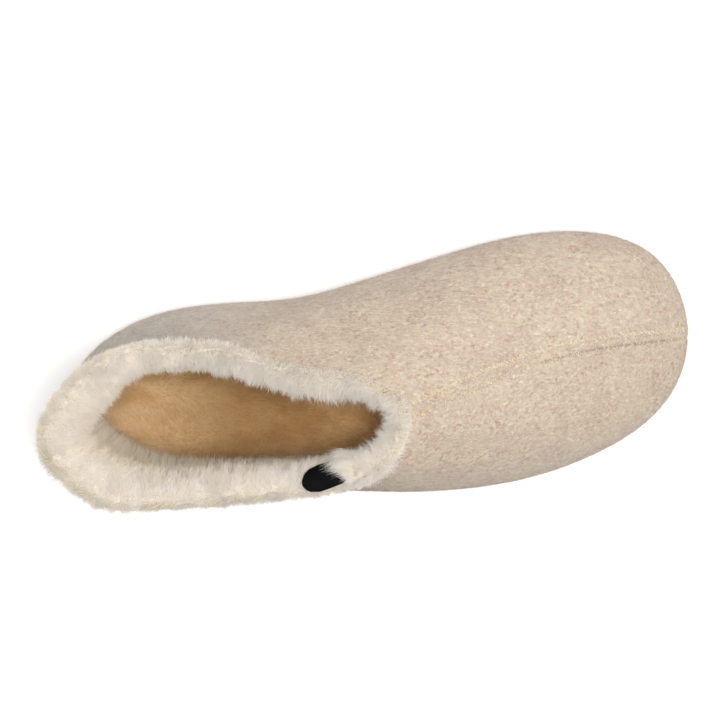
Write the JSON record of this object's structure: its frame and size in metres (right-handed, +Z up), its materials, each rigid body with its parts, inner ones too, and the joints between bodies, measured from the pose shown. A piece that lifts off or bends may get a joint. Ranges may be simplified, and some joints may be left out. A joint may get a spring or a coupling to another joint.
{
  "type": "slipper boot",
  "caption": "Ankle-high felt slipper boot for the right foot with a deep pile collar, plush insole, thin sole and a plain side tab",
  "frame": {"origin": "on the floor under the middle of the boot's box", "axes": "+X to the toe, +Y to the inner side of the foot, +Z up"},
  "size_m": [0.2714, 0.1066, 0.1121],
  "materials": {
    "felt": "mottled oatmeal wool felt with a short fuzzy nap",
    "sole": "matt plain sole sheet",
    "footbed_plush": "short dense tan plush",
    "cream_pile": "deep soft cream pile in loose locks",
    "black_tab": "plain matt black tab"
  },
  "bodies": {
    "root": {"upper": "felt", "outsole": "sole", "insole": "footbed_plush", "collar_fur": "cream_pile", "side_tab": "black_tab"}
  },
  "joints": []
}
